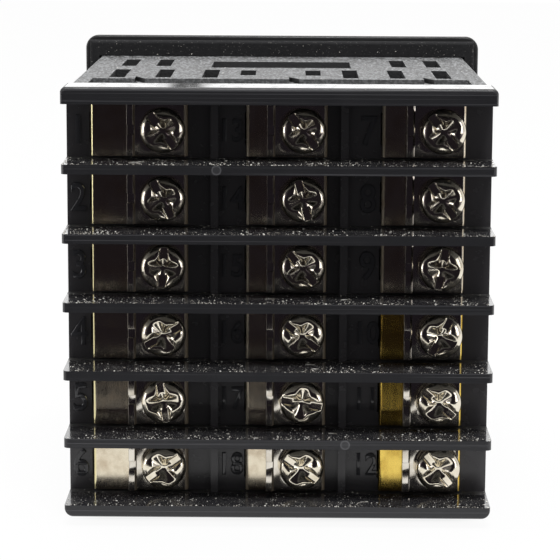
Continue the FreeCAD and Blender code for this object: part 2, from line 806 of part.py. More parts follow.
def make_switches():
    """The push switches under the keys."""
    body = new_body("key_switches")
    key_end = f"({POCKET_FLOOR} + {s('key_seat_gap')} + {s('key_flange_thickness')} + {s('key_stem_length')})"
    top = f"({key_end} + {s('key_switch_gap')})"
    face = new_sketch(body, "XZ_Plane", top)
    for number in range(len(KEY_NAMES)):
        centred(face, key_x(number), KEY_Z, s("switch_side"), s("switch_side"))
    pad(face, f"{DISPLAY_BOARD_FRONT} - {top}")
    return body


def make_transformer():
    """A ferrite core with its bobbin, lying on the power board's left face."""
    body = new_body("power_transformer")
    y = f"(-{BOARD_FRONT} - {s('transformer_front_gap')} - {s('transformer_length')} / 2)"
    z = s("transformer_rise")
    board = board_left("right")
    core = new_sketch(body, "YZ_Plane", board)
    centred(core, y, z, s("transformer_length"), f"({s('transformer_width')} - 2 * {s('bobbin_margin')})")
    pad(core, s("transformer_height"), backwards=True)
    for lift in (s("bobbin_flange"), f"({s('transformer_height')} - {s('bobbin_margin')})"):
        flange = new_sketch(body, "YZ_Plane", f"{board} - {lift}")
        length = f"({s('transformer_length')} - 2 * {s('bobbin_margin')})"
        centred(flange, y, z, length, s("transformer_width"))
        pad(flange, s("bobbin_flange"))
    return body


def make_relay():
    body = new_body("output_relay")
    base = new_sketch(body, "YZ_Plane", board_left("right"))
    y = f"(-{BOARD_FRONT} - {s('relay_front_gap')} - {s('relay_length')} / 2)"
    centred(base, y, f"-{s('relay_drop')}", s("relay_length"), s("relay_width"))
    pad(base, s("relay_height"), backwards=True)
    dress(body, "Fillet", s("relay_round"), along("x"))
    return body


def make_capacitors():
    body = new_body("filter_capacitors")
    base = new_sketch(body, "YZ_Plane", board_left("right"))
    radius = f"{s('capacitor_diameter')} / 2"
    for side in (-1, 1):
        z = f"({s('capacitor_rise')} + {side} * {s('capacitor_pitch')} / 2)"
        circle(base, f"-({TAIL_END} - {s('capacitor_setback')} - {radius})", z, radius)
    pad(base, s("capacitor_height"), backwards=True)
    top = value(f"{board_left('right')} - {s('capacitor_height')}")
    dress(body, "Chamfer", s("capacitor_chamfer"), lambda edge: near(edge.BoundBox.XMax, top))
    return body


def make_chip():
    body = new_body("control_chip")
    base = new_sketch(body, "YZ_Plane", board_left("middle"))
    y = f"(-{BOARD_FRONT} - {s('chip_front_gap')} - {s('chip_side')} / 2)"
    centred(base, y, "0", s("chip_side"), s("chip_side"))
    pad(base, s("chip_thickness"), backwards=True)
    return body


pieces = [make_bezel(), make_window(), make_gasket(), make_case(), make_block()]
pieces += [make_key(number) for number in range(len(KEY_NAMES))]
pieces += [make_display_board(), make_display(), make_switches(), make_connectors()]
pieces += [make_board("input_board", "left"), make_board("control_board", "middle")]
pieces += [make_board("power_board", "right"), make_chip()]
pieces += [make_transformer(), make_relay(), make_capacitors()]
pieces += [make_plates("left_plates", "left", range(ROWS))]
pieces += [make_plates("middle_plates", "middle", range(ROWS))]
pieces += [make_plates("right_upper_plates", "right", range(ROWS // 2))]
pieces += [make_plates("right_lower_plates", "right", range(ROWS // 2, ROWS))]
for place, (column, turns) in enumerate(SLOT_TURNS.items()):
    for row, turn in enumerate(turns):
        number = f"{place * ROWS + row + 1:02d}"
        pieces.append(make_washer(f"clamp_washer_{number}", column, row))
        pieces.append(make_screw(f"terminal_screw_{number}", column, row, turn))

doc.recompute()
for item in doc.Objects:
    if "Invalid" in item.State or "Error" in item.State:
        raise RuntimeError(f"{item.Label} failed: {item.State}")
for piece in pieces:
    if piece.Shape.isNull() or not piece.Shape.isValid():
        raise RuntimeError(f"{piece.Label} has no valid shape")

os.makedirs("parts", exist_ok=True)
for piece in pieces:
    piece.Shape.exportStep(f"parts/{piece.Label}.step")
    print(f"{piece.Label}: {len(piece.Shape.Solids)} solids, {piece.Shape.Volume:.1f} mm3")
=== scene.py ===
# %% [markdown]
# # A panel controller, seen from its wiring side
# The real object is a small square controller that sits in the door of a control cabinet. The photograph shows the
# side that an electrician works on: a black case with vents, a glossy terminal block with eighteen clamp screws,
# and the front frame standing behind. The solids come from the packed CAD model, which is loaded first and stays as
# it is. Its box is kept.

# %% Load the packed model
import json
import math
import random

import bmesh
import bpy
from mathutils import Matrix, Vector
from mathutils.bvhtree import BVHTree


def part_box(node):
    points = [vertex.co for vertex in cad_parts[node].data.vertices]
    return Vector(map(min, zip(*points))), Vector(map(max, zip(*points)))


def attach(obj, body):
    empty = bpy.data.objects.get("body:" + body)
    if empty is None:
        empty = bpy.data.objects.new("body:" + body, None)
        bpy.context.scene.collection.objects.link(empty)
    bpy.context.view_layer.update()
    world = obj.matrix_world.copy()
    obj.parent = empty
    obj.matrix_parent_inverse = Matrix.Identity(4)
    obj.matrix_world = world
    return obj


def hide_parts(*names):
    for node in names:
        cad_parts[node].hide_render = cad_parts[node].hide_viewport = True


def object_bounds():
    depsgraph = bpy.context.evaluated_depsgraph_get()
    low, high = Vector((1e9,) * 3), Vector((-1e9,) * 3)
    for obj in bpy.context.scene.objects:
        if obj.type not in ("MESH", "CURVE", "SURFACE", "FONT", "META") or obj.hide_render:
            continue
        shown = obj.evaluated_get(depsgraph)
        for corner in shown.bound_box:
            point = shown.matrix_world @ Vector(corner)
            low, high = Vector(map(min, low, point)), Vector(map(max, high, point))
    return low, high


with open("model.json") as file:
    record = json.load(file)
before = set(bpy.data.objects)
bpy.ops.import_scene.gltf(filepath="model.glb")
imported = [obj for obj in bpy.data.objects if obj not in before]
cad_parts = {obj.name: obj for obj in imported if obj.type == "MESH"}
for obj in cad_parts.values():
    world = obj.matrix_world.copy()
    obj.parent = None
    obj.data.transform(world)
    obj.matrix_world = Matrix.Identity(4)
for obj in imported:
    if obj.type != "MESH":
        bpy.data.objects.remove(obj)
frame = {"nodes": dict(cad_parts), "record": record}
cad_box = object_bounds()
MM = 0.001
print("CAD nodes:", len(frame["nodes"]), "box:", [round(v / MM, 2) for corner in cad_box for v in corner])

# %% [markdown]
# ## The camera
# A product photograph is taken from far away with a long lens, so that the sides stay nearly parallel. The place and
# the angles were found by matching the corners of the case and the ends of the barriers. Three turns are applied one
# after the other, pan, tilt and roll, because a single set of Euler angles would mix the roll with the others.

# %% Camera
CAMERA_PLACE = Vector((1.46, -279.45, 43.25)) * MM
CAMERA_PAN, CAMERA_TILT, CAMERA_ROLL = math.radians(0.32), math.radians(-9.88), math.radians(0.29)
LENS, SENSOR = 147.12, 36
NEAREST, FURTHEST = 0.01, 10

lens = bpy.data.cameras.new("camera")
lens.lens, lens.sensor_width = LENS, SENSOR
lens.clip_start, lens.clip_end = NEAREST, FURTHEST
camera = bpy.data.objects.new("camera", lens)
bpy.context.scene.collection.objects.link(camera)
aim = Matrix.Rotation(CAMERA_PAN, 4, "Z") @ Matrix.Rotation(math.pi / 2 + CAMERA_TILT, 4, "X")
camera.matrix_world = Matrix.Translation(CAMERA_PLACE) @ aim @ Matrix.Rotation(CAMERA_ROLL, 4, "Z")
bpy.context.scene.camera = camera
bpy.context.scene.view_settings.view_transform = "Standard"
print("camera at", [round(v / MM, 1) for v in CAMERA_PLACE], "mm")

# %% [markdown]
# ## Writing shaders as sums
# A finish needs a good many Math nodes, and placing each by hand hides what they do. One small class wraps a socket:
# a sum written on it adds the Math node, and its method node() adds any other node to the same tree. A finish starts
# from Object coordinates, which are the model's own metres, so that a grain has its real size. Most masks come from
# band(), which runs smoothly from 0 to 1 between two limits, and they are multiplied where both must hold.

# %% Sockets that can be added and multiplied
class Wire:
    """A shader socket on which sums can be written."""

    COLOURS_IN, COLOUR_OUT = (6, 7), 2  # the sockets of a Mix node when it mixes colours

    def __init__(self, tree, socket=None):
        self.tree, self.socket = tree, socket

    def node(self, kind, settings=None, sockets=None, out=0):
        """Adds a node, with its settings first and then numbers or wires on its sockets."""
        made = self.tree.nodes.new(kind)
        for name, setting in (settings or {}).items():
            setattr(made, name, setting)
        for name, given in (sockets or {}).items():
            if isinstance(given, Wire):
                self.tree.links.new(given.socket, made.inputs[name])
            else:
                made.inputs[name].default_value = given
        return Wire(self.tree, made.outputs[out])

    def math(self, operation, first, second=0.0):
        """Adds a Math node."""
        return self.node("ShaderNodeMath", {"operation": operation}, {0: first, 1: second})

    def __add__(self, other):
        return self.math("ADD", self, other)

    def __sub__(self, other):
        return self.math("SUBTRACT", self, other)

    def __rsub__(self, other):
        return self.math("SUBTRACT", other, self)

    def __mul__(self, other):
        return self.math("MULTIPLY", self, other)

    __radd__, __rmul__ = __add__, __mul__

    def band(self, low, high):
        """Runs smoothly from 0 at low to 1 at high."""
        limits = {"Value": self, "From Min": low, "From Max": high}
        return self.node("ShaderNodeMapRange", {"interpolation_type": "SMOOTHSTEP"}, limits)

    def noise(self, size, detail=2.0, stretch=(1, 1, 1)):
        """Noise with lumps of about this size in millimetres, longer along an axis that is stretched."""
        scaled = self.node("ShaderNodeVectorMath", {"operation": "MULTIPLY"},
                           {0: self, 1: [1 / (size * MM * s) for s in stretch]})
        return self.node("ShaderNodeTexNoise", {}, {"Vector": scaled, "Scale": 1.0, "Detail": detail}, "Fac")

    def part(self, axis):
        """One of the three numbers of a vector."""
        return self.node("ShaderNodeSeparateXYZ", {}, {0: self}, axis)

    def distance(self, point):
        """How many millimetres lie between this place and a point given in millimetres."""
        ends = {0: self, 1: [v * MM for v in point]}
        return self.node("ShaderNodeVectorMath", {"operation": "DISTANCE"}, ends, "Value") * (1 / MM)

    def blend(self, low, high):
        """A colour between two, by this mask."""
        sockets = {0: self}
        for at, colour in zip(self.COLOURS_IN, (low, high)):
            sockets[at] = colour if isinstance(colour, Wire) else (*colour, 1)
        return self.node("ShaderNodeMix", {"data_type": "RGBA"}, sockets, self.COLOUR_OUT)


print("a wire has the methods", ", ".join(name for name in vars(Wire) if name[0].islower()))


# %% A finish and its sockets
def new_finish(name, colour, roughness, constants=None):
    """A material whose Principled shader has these plain values; also gives Object coordinates."""
    finish = bpy.data.materials.new(name)
    finish.use_nodes = True
    shader = finish.node_tree.nodes["Principled BSDF"]
    shader.inputs["Base Color"].default_value = (*colour, 1)
    shader.inputs["Roughness"].default_value = roughness
    for socket, constant in (constants or {}).items():
        shader.inputs[socket].default_value = constant
    return finish, Wire(finish.node_tree).node("ShaderNodeTexCoord", out="Object")


def feed(finish, socket, wire):
    """Leads a wire to one socket of the finish's shader."""
    shader = finish.node_tree.nodes["Principled BSDF"]
    finish.node_tree.links.new(wire.socket, shader.inputs[socket])


def relief(finish, height, depth):
    """Bumps the surface by a height from 0 to 1, as deep as this many millimetres."""
    bump = height.node("ShaderNodeBump", {}, {"Height": height, "Distance": depth * MM, "Strength": 1.0})
    feed(finish, "Normal", bump)


def facing(place, axis):
    """How far the surface faces along an axis, from -1 to 1."""
    return place.node("ShaderNodeNewGeometry", out="Normal").part(axis)


print("finish helpers: new_finish, feed, relief, facing")

# %% [markdown]
# ## Black mouldings
# The case is moulded in a grained tool, so it scatters the light and looks grey where it is seen at a low angle. The
# front frame is satin, and the gasket between them is soft rubber. Black plastic could be one finish for all, but
# then the pieces would run together, so each has its own. Dust settles on them where they face up: a fine film that
# only changes colour and roughness. On the case's top the grain is painted with pale specks. They are partly dust in
# the grain and partly a painted sheen for the glints that the grain gives at a low angle. The wall of its notch lies
# in shade and is painted lighter, with the same specks and an even grey, as painted light. The thicker crumbs are
# made as pieces later on.

# %% Film of dust
DUST_COLOUR = (0.30, 0.29, 0.27)


def dusty(finish, place, colour, amount, roughness):
    """Lays a film of dust over the faces that look up."""
    film = place.noise(1.6, 4.0).band(0.42, 0.75) * facing(place, "Z").band(0.5, 0.9) * amount
    grit = place.noise(0.16, 1.0).band(0.64, 0.72) * facing(place, "Z").band(0.4, 0.8) * amount
    feed(finish, "Base Color", (film * 0.2 + grit * 0.8).blend(colour, DUST_COLOUR))
    feed(finish, "Roughness", roughness + film * 0.2 + grit * 0.3)


print("dust film of colour", DUST_COLOUR)

# %% Case, front frame and gasket
CASE_BLACK, CASE_DUST_AND_SHEEN = (0.028, 0.028, 0.029), (0.215, 0.22, 0.225)
FRAME_BLACKS = (0.015, 0.015, 0.016), (0.024, 0.024, 0.024)
RUBBER_BLACKS = (0.008, 0.008, 0.009), (0.019, 0.019, 0.020)
NOTCH_FROM, NOTCH_BY = -31.8 * MM, -32.05 * MM
GRAIN_STRETCH = (1, 2.6, 1)

case_plastic, place = new_finish("case_plastic", (0.04, 0.04, 0.041), 0.5, {"Specular IOR Level": 0.35})
grain = place.noise(0.26, 1.0, GRAIN_STRETCH)
top = facing(place, "Z").band(0.3, 0.8)
notch_wall = facing(place, "Y").band(-0.7, -0.9) * place.part("Y").band(NOTCH_FROM, NOTCH_BY)
# painted sheen and painted light: pale specks on the top are partly dust and partly glints of the grain, and the
# shaded notch wall is painted lighter
dust_and_painted_light = grain.band(0.44, 0.64) * (top + notch_wall * 0.35) + notch_wall * 0.25
dusty(case_plastic, place, dust_and_painted_light.blend(CASE_BLACK, CASE_DUST_AND_SHEEN), 0.5, dust_and_painted_light * 0.2 + 0.5)
relief(case_plastic, grain, 0.06)

bezel_plastic, place = new_finish("bezel_plastic", (0.018, 0.018, 0.019), 0.36, {"Specular IOR Level": 0.3})
satin = place.noise(0.8).band(0.3, 0.7) * 0.12 + 0.32
dusty(bezel_plastic, place, place.noise(2.5).blend(*FRAME_BLACKS), 0.7, satin)
relief(bezel_plastic, place.noise(0.12, 2.0), 0.01)

gasket_rubber, place = new_finish("gasket_rubber", (0.016, 0.016, 0.016), 0.7, {"Specular IOR Level": 0.15})
specks = place.noise(0.22, 1.0).band(0.66, 0.74)
feed(gasket_rubber, "Base Color", (specks * 0.3).blend(place.noise(0.6, 3.0).blend(*RUBBER_BLACKS), DUST_COLOUR))
relief(gasket_rubber, place.noise(0.2, 2.0), 0.02)
print("case, frame and gasket:", case_plastic.name, bezel_plastic.name, gasket_rubber.name)

# %% [markdown]
# ## The polished block
# The terminal block comes from a polished tool and mirrors what is around it, except on its tongue, which has the
# case's grain, and along the rubbed edge of its lip. Close to, the block's rear edges show the fine lines that the
# mould's cutter left along the barriers. They are drawn as a shallow bump and painted as thin pale lines that stand
# for their highlights. Here and there is the round print of an ejector pin, which is where the hot part was pushed
# out of its mould, painted as a lighter ring. The walls deep in the cells lie in shade and are painted a little
# greyer, as painted light. All of it could be painted by hand, but here each mask is worked out from the place on
# the block: the lines from stretched noise, the prints from their distance to a point, and the rest from the depth
# and the way that a face looks.

# %% Terminal block
EJECTOR_PRINTS = ((-6.35, -48.6, 14.3), (7.0, -48.6, -14.3))
POLISHED_BY, GRAINED_FROM = -44.0 * MM, -42.0 * MM
REAR_FROM, REAR_BY = -47.5 * MM, -48.2 * MM
DEEP_FROM, DEEP_BY = -45.0 * MM, -43.0 * MM
LIP_FROM, LIP_BY = 21.6 * MM, 21.9 * MM
BLOCK_BLACKS = (0.014, 0.014, 0.016), (0.019, 0.019, 0.021)
# the pale grey paints the cutter lines as thin highlights and the ejector prints as lighter rings; the deep grey is
# painted light on the shaded walls deep in the cells
DEEP_PAINTED_LIGHT_GREY, PAINTED_HIGHLIGHT_GREY, TONGUE_GREY = (0.042, 0.040, 0.043), (0.16, 0.16, 0.17), (0.04, 0.04, 0.04)
LINE_STRETCH = (400, 3, 1)

block_plastic, place = new_finish("block_plastic", (0.018, 0.018, 0.020), 0.12)
rearward, upward, depth = facing(place, "Y"), facing(place, "Z"), place.part("Y")
cutter_lines = place.noise(0.14, 2.0, LINE_STRETCH)
rear_faces = rearward.band(-0.85, -0.95) * depth.band(REAR_FROM, REAR_BY)
prints = 0.0
for point in EJECTOR_PRINTS:
    gap = place.distance(point)
    prints = gap.band(0.34, 0.42) * gap.band(0.56, 0.46) + gap.band(0.45, 0.40) * 0.3 + prints
# painted highlights: pale lines and rings on the rear faces
painted_lines_and_prints = rear_faces * (cutter_lines.band(0.54, 0.70) * 0.24 + prints * 0.35)
grained = depth.band(POLISHED_BY, GRAINED_FROM) * upward.band(0.3, 0.7)
# painted light: the shaded walls deep in the cells are painted greyer
deep = depth.band(DEEP_FROM, DEEP_BY) * rearward.band(-0.5, -0.9)
lip_edge = upward.band(0.05, 0.2) * upward.band(0.99, 0.95) * place.part("Z").band(LIP_FROM, LIP_BY)

shade = painted_lines_and_prints.blend(deep.blend(place.noise(4.0).blend(*BLOCK_BLACKS), DEEP_PAINTED_LIGHT_GREY), PAINTED_HIGHLIGHT_GREY)
polish = place.noise(1.2, 4.0).band(0.3, 0.8) * 0.06 + 0.08
dulled = (grained + lip_edge) * 0.4 + deep * 0.15 + rear_faces * 0.22
dusty(block_plastic, place, grained.blend(shade, TONGUE_GREY), 0.55, polish + dulled)
relief(block_plastic, cutter_lines * rear_faces * 0.3 + place.noise(0.3, 3.0) * grained, 0.03)
print("block:", block_plastic.name, "with", len(EJECTOR_PRINTS), "ejector prints")

# %% [markdown]
# ## Plated metal
# Screws, washers and plates are nickel plated, and three plates are brass. Bright metal has almost no colour of its
# own: it shows what it reflects, broken up by the rolling marks of the strip and by handling. So the base colour
# hardly varies, while the roughness does, and a shallow relief bends the reflections. The strip is cut after it is
# plated, so its cut edges differ: bare brass shows at the far left. The other edges that face left or right are
# painted dark brown and made partly non-metal there. This is partly tarnish and partly painted shade, which takes
# away the glints that the side lamps would give them. One function makes all four, since they differ only in their
# values.

# %% Nickel, brass and steel
# the brown for cut edges is partly tarnish and partly painted shade
BARE_BRASS, DULL_EDGE_AND_SHADE = (0.78, 0.70, 0.40), (0.10, 0.07, 0.04)
FAR_LEFT, NOT_FAR_LEFT = -19 * MM, -17 * MM
FAR_RIGHT, NOT_FAR_RIGHT = 14 * MM, 12 * MM
METALS = {
    "nickel_plate": dict(colour=(0.80, 0.72, 0.56), tarnish=(0.58, 0.46, 0.32), roughness=0.18, rolled=(1, 1, 25),
                         depth=0.0015, tarnish_and_shade_left=0.4, tarnish_and_shade_right=0.9),
    "brass_plate": dict(colour=(0.86, 0.62, 0.14), tarnish=(0.60, 0.37, 0.06), roughness=0.20, rolled=(1, 1, 25),
                        depth=0.0015),
    "washer_steel": dict(colour=(0.76, 0.72, 0.64), tarnish=(0.55, 0.49, 0.40), roughness=0.12, rolled=(1, 1, 12),
                         depth=0.001, tarnish_and_shade_left=0.5, tarnish_and_shade_right=0.9),
    "screw_steel": dict(colour=(0.86, 0.80, 0.67), tarnish=(0.70, 0.62, 0.47), roughness=0.14, rolled=(2, 2, 2),
                        depth=0.0006),
}


def bright_metal(name, colour, tarnish, roughness, rolled, depth, tarnish_and_shade_left=0.0, tarnish_and_shade_right=0.0):
    """Plated metal with rolling marks along one axis, so many millimetres deep, and brown cut edges, partly painted
    shade.
    """
    finish, place = new_finish(name, colour, roughness, {"Metallic": 1.0})
    cloud = place.noise(1.5, 3.0).band(0.35, 0.8)
    marks = place.noise(0.25, 1.0, rolled)
    sideways, across = facing(place, "X"), place.part("X")
    left_edge, right_edge = sideways.band(-0.15, -0.5), sideways.band(0.15, 0.5)
    bare = left_edge * across.band(NOT_FAR_LEFT, FAR_LEFT)
    # painted shade: cut edges facing left or right are darkened to brown and made partly non-metal, partly for
    # tarnish and partly to take away their glints
    tarnish_and_shade = left_edge * across.band(FAR_LEFT, NOT_FAR_LEFT) * tarnish_and_shade_left \
        + right_edge * across.band(FAR_RIGHT, NOT_FAR_RIGHT) * tarnish_and_shade_right
    plated = bare.blend((cloud * 0.8).blend(colour, tarnish), BARE_BRASS)
    feed(finish, "Base Color", tarnish_and_shade.blend(plated, DULL_EDGE_AND_SHADE))
    feed(finish, "Roughness", cloud * 0.08 + marks * 0.06 + tarnish_and_shade * 0.3 + (roughness - 0.05))
    if tarnish_and_shade_left or tarnish_and_shade_right:
        feed(finish, "Metallic", 1 - tarnish_and_shade)
    relief(finish, marks, depth)
    return finish


FINISHES = {name: bright_metal(name, **look) for name, look in METALS.items()}
print("metals:", ", ".join(FINISHES))

# %% [markdown]
# ## Inside and front
# The boards and their components show only as dark shapes behind the vents, and the display only behind its smoked
# window. They still get their own finish, since the part is looked at from every side. The window is clear plastic
# with a dark tint, so it uses transmission and stays smooth; a mixed-in transparent shader would be simpler, but it
# would lose the gloss and the thickness.

# %% Boards and components
BOARD_GREENS = (0.007, 0.04, 0.018), (0.016, 0.08, 0.034)
FERRITE_GREYS = (0.04, 0.04, 0.043), (0.08, 0.08, 0.085)

circuit_board, place = new_finish("circuit_board", (0.02, 0.10, 0.05), 0.35)
tracks = place.noise(0.9, 0.0, (1, 6, 1)).band(0.52, 0.56)
feed(circuit_board, "Base Color", tracks.blend(*BOARD_GREENS))
relief(circuit_board, tracks, 0.03)

component_plastic, place = new_finish("component_plastic", (0.025, 0.025, 0.026), 0.45)
feed(component_plastic, "Roughness", place.noise(0.5).band(0.3, 0.7) * 0.2 + 0.38)
relief(component_plastic, place.noise(0.15), 0.01)

transformer_ferrite, place = new_finish("transformer_ferrite", (0.06, 0.06, 0.065), 0.5)
feed(transformer_ferrite, "Base Color", place.noise(0.4, 4.0).blend(*FERRITE_GREYS))
relief(transformer_ferrite, place.noise(0.2, 3.0), 0.03)

capacitor_sleeve, place = new_finish("capacitor_sleeve", (0.02, 0.025, 0.06), 0.3)
feed(capacitor_sleeve, "Roughness", place.noise(0.8).band(0.3, 0.7) * 0.15 + 0.22)
print("inside:", circuit_board.name, component_plastic.name, transformer_ferrite.name, capacitor_sleeve.name)

# %% Display, window and keys
CLEAR_PLASTIC = {"Transmission Weight": 0.9, "IOR": 1.49}
KEY_GREYS = (0.085, 0.085, 0.09), (0.12, 0.12, 0.125)

display_plastic, place = new_finish("display_plastic", (0.012, 0.011, 0.011), 0.3)
feed(display_plastic, "Roughness", place.noise(0.7).band(0.3, 0.7) * 0.15 + 0.25)

smoked_window, place = new_finish("smoked_window", (0.32, 0.27, 0.26), 0.03, CLEAR_PLASTIC)
feed(smoked_window, "Roughness", place.noise(3.0, 4.0).band(0.5, 0.8) * 0.05 + 0.03)

key_rubber, place = new_finish("key_rubber", (0.10, 0.10, 0.105), 0.55)
feed(key_rubber, "Base Color", place.noise(0.5, 3.0).blend(*KEY_GREYS))
relief(key_rubber, place.noise(0.15), 0.015)
print("front:", display_plastic.name, smoked_window.name, key_rubber.name)

# %% [markdown]
# ## Finishes on the CAD nodes
# The packed record says which slot each solid takes its finish from. The finishes have the slots' names, so one loop
# lays them on, and a solid that is added to the model later finds its finish by itself.

# %% Finishes on the CAD nodes
FINISHES.update(
    case_plastic=case_plastic, block_plastic=block_plastic, bezel_plastic=bezel_plastic, gasket_rubber=gasket_rubber,
    circuit_board=circuit_board, component_plastic=component_plastic, transformer_ferrite=transformer_ferrite,
    capacitor_sleeve=capacitor_sleeve, display_plastic=display_plastic, smoked_window=smoked_window,
    key_rubber=key_rubber)
for subpart in frame["record"]["subparts"]:
    mesh = frame["nodes"][subpart["node"]].data
    mesh.materials.clear()
    mesh.materials.append(FINISHES[subpart["material_slot"]])

# %% [markdown]
# ## Pieces
# Every new piece is worked out in millimetres about its own middle and then put in its place by a matrix. The matrix
# goes into the mesh, and the object stays at the origin, as the CAD nodes do. TO_REAR turns a piece drawn flat,
# facing up, so that it faces the electrician, and TO_FRONT turns it to the operator. Holes and slots are cut by
# boolean modifiers on objects that exist only for the cut, because a bmesh has no operator of its own for that.

# %% From a bmesh to a piece
TO_REAR = Matrix.Scale(MM, 4) @ Matrix.Rotation(math.pi / 2, 4, "X")
TO_FRONT = Matrix.Rotation(math.pi, 4, "Z") @ TO_REAR
TOUCHING = 1e-4


def new_mesh(name, shape):
    """Closes a bmesh into a mesh whose faces point outwards."""
    bmesh.ops.remove_doubles(shape, verts=shape.verts, dist=TOUCHING)
    bmesh.ops.recalc_face_normals(shape, faces=shape.faces)
    mesh = bpy.data.meshes.new(name)
    shape.to_mesh(mesh)
    shape.free()
    return mesh


def new_piece(name, mesh, finish, body, crease=35):
    """Shows a mesh as a piece that rides on a body; edges sharper than the crease stay sharp."""
    mesh.materials.clear()
    mesh.materials.append(finish)
    mesh.shade_smooth()
    mesh.set_sharp_from_angle(angle=math.radians(crease))
    piece = bpy.data.objects.new(name, mesh)
    bpy.context.scene.collection.objects.link(piece)
    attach(piece, body)
    return piece


def corners(node):
    """The lowest and the highest corner of a CAD node."""
    return [Vector(corner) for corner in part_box(node)]


print("a face drawn looking up will look along", [round(v / MM) for v in TO_REAR @ Vector((0, 0, 1))])


# %% Cutting, rounding and pulling
def carved(name, shape, cutters, voxel=0.0, rounds=0):
    """Cuts closed shapes out of another one; with a voxel size, what is left is softened by so many rounds."""
    blank = bpy.data.objects.new(name, new_mesh(name, shape))
    tools = [bpy.data.objects.new("tool", new_mesh("tool", cutter)) for cutter in cutters]
    for thing in (blank, *tools):
        bpy.context.scene.collection.objects.link(thing)
    for tool in tools:
        cut = blank.modifiers.new("cut", "BOOLEAN")
        cut.operation, cut.solver, cut.object = "DIFFERENCE", "EXACT", tool
    if voxel:
        even = blank.modifiers.new("even", "REMESH")
        even.mode, even.voxel_size = "VOXEL", voxel
        soft = blank.modifiers.new("soft", "SMOOTH")
        soft.factor, soft.iterations = 0.5, rounds
    mesh = bpy.data.meshes.new_from_object(blank.evaluated_get(bpy.context.evaluated_depsgraph_get()))
    for thing in (blank, *tools):
        bpy.data.objects.remove(thing)
    return mesh


def bar(size, middle=(0, 0, 0)):
    """A closed block of this size about a point."""
    shape = bmesh.new()
    bmesh.ops.create_cube(shape, size=1.0)
    bmesh.ops.scale(shape, verts=shape.verts, vec=size)
    bmesh.ops.translate(shape, verts=shape.verts, vec=middle)
    return shape


def rounded(shape, edges, radius, segments):
    """Rounds edges with a bevel."""
    bmesh.ops.bevel(shape, geom=edges, offset=radius, offset_type="OFFSET", affect="EDGES", segments=segments,
                    profile=0.5, material=-1, clamp_overlap=True)


def pulled(shape, faces, travel):
    """Extrudes faces by this travel and gives the new vertices."""
    made = bmesh.ops.extrude_face_region(shape, geom=faces)["geom"]
    ends = [v for v in made if isinstance(v, bmesh.types.BMVert)]
    bmesh.ops.translate(shape, verts=ends, vec=travel)
    return ends


print("shaping helpers: carved, bar, rounded, pulled")

# %% [markdown]
# ## Terminal screws
# The screws have a domed head with a slot and a cross, so that either driver fits. The dome is the upper half of a
# sphere, flattened, with its rim pulled down for the side. The cross is a punch made from a circle of twelve points,
# four of which are drawn in to make a star, pulled down to a point. It is cut out first, and a remesh with many
# rounds of smoothing softens it into the flowing lobes that a struck cross has. The slot runs out through the rim;
# it is cut after that, and smoothed by a few rounds only, so that it stays crisper. A sculpted head would do as
# well, but this way every size keeps its name. Below the head goes a real helix: one tooth of the thread is spun
# round and moved down by a little at each step.

# %% Head and punch
HEAD_RADIUS, HEAD_HEIGHT, HEAD_SIDE = 2.35, 2.1, 0.95
SLOT_WIDTH, SLOT_DEPTH = 0.9, 0.75
PUNCH_REACH, PUNCH_WAIST, PUNCH_CLEAR, PUNCH_TURN = 3.3, 0.56, 0.4, math.radians(15)
CROSS_DEPTH, CROSS_FOOT = 1.15, 0.08
HEAD_VOXEL, CROSS_ROUNDS, SLOT_ROUNDS = 0.07, 40, 6


def domed_head():
    """A flattened half sphere on a short cylinder, standing on zero."""
    head = bmesh.new()
    bmesh.ops.create_uvsphere(head, u_segments=64, v_segments=32, radius=1.0)
    everything = head.verts[:] + head.edges[:] + head.faces[:]
    bmesh.ops.bisect_plane(head, geom=everything, plane_co=(0, 0, 0), plane_no=(0, 0, 1), clear_inner=True, dist=1e-5)
    bmesh.ops.scale(head, verts=head.verts, vec=(HEAD_RADIUS, HEAD_RADIUS, HEAD_HEIGHT - HEAD_SIDE))
    bmesh.ops.translate(head, verts=head.verts, vec=(0, 0, HEAD_SIDE))
    rim = [e for e in head.edges if e.is_boundary]
    side = bmesh.ops.extrude_edge_only(head, edges=rim)["geom"]
    bmesh.ops.translate(head, verts=[v for v in side if isinstance(v, bmesh.types.BMVert)], vec=(0, 0, -HEAD_SIDE))
    bmesh.ops.holes_fill(head, edges=[e for e in head.edges if e.is_boundary], sides=0)
    return head


def cross_punch():
    """The star-shaped punch of the cross, which stands clear of the head and tapers to a blunt point."""
    punch = bmesh.new()
    bmesh.ops.create_circle(punch, cap_ends=True, segments=12, radius=PUNCH_REACH)
    bmesh.ops.rotate(punch, verts=punch.verts, matrix=Matrix.Rotation(PUNCH_TURN, 3, "Z"))
    waist = [v for v in punch.verts if abs(abs(v.co.x) - abs(v.co.y)) < 0.01]
    bmesh.ops.scale(punch, verts=waist, vec=(PUNCH_WAIST, PUNCH_WAIST, 1))
    foot = pulled(punch, punch.faces[:], (0, 0, -CROSS_DEPTH - PUNCH_CLEAR))
    bmesh.ops.scale(punch, verts=foot, vec=(CROSS_FOOT, CROSS_FOOT, 1))
    bmesh.ops.translate(punch, verts=punch.verts, vec=(0, 0, HEAD_HEIGHT + PUNCH_CLEAR))
    return punch


print("head:", 2 * HEAD_RADIUS, "mm wide and", HEAD_HEIGHT, "mm high, cross", CROSS_DEPTH, "mm deep")

# %% Thread and the whole screw
THREAD_RADIUS, THREAD_ROOT, THREAD_PITCH, THREAD_LENGTH, THREAD_STEPS = 1.48, 1.2, 0.5, 6.0, 24
THREAD_TURNS = int(THREAD_LENGTH / THREAD_PITCH) - 1
CREST_FROM, CREST_TO = 0.2, 0.3
CORE_TIP, CORE_TOP = THREAD_ROOT - 0.2, THREAD_ROOT + 0.01


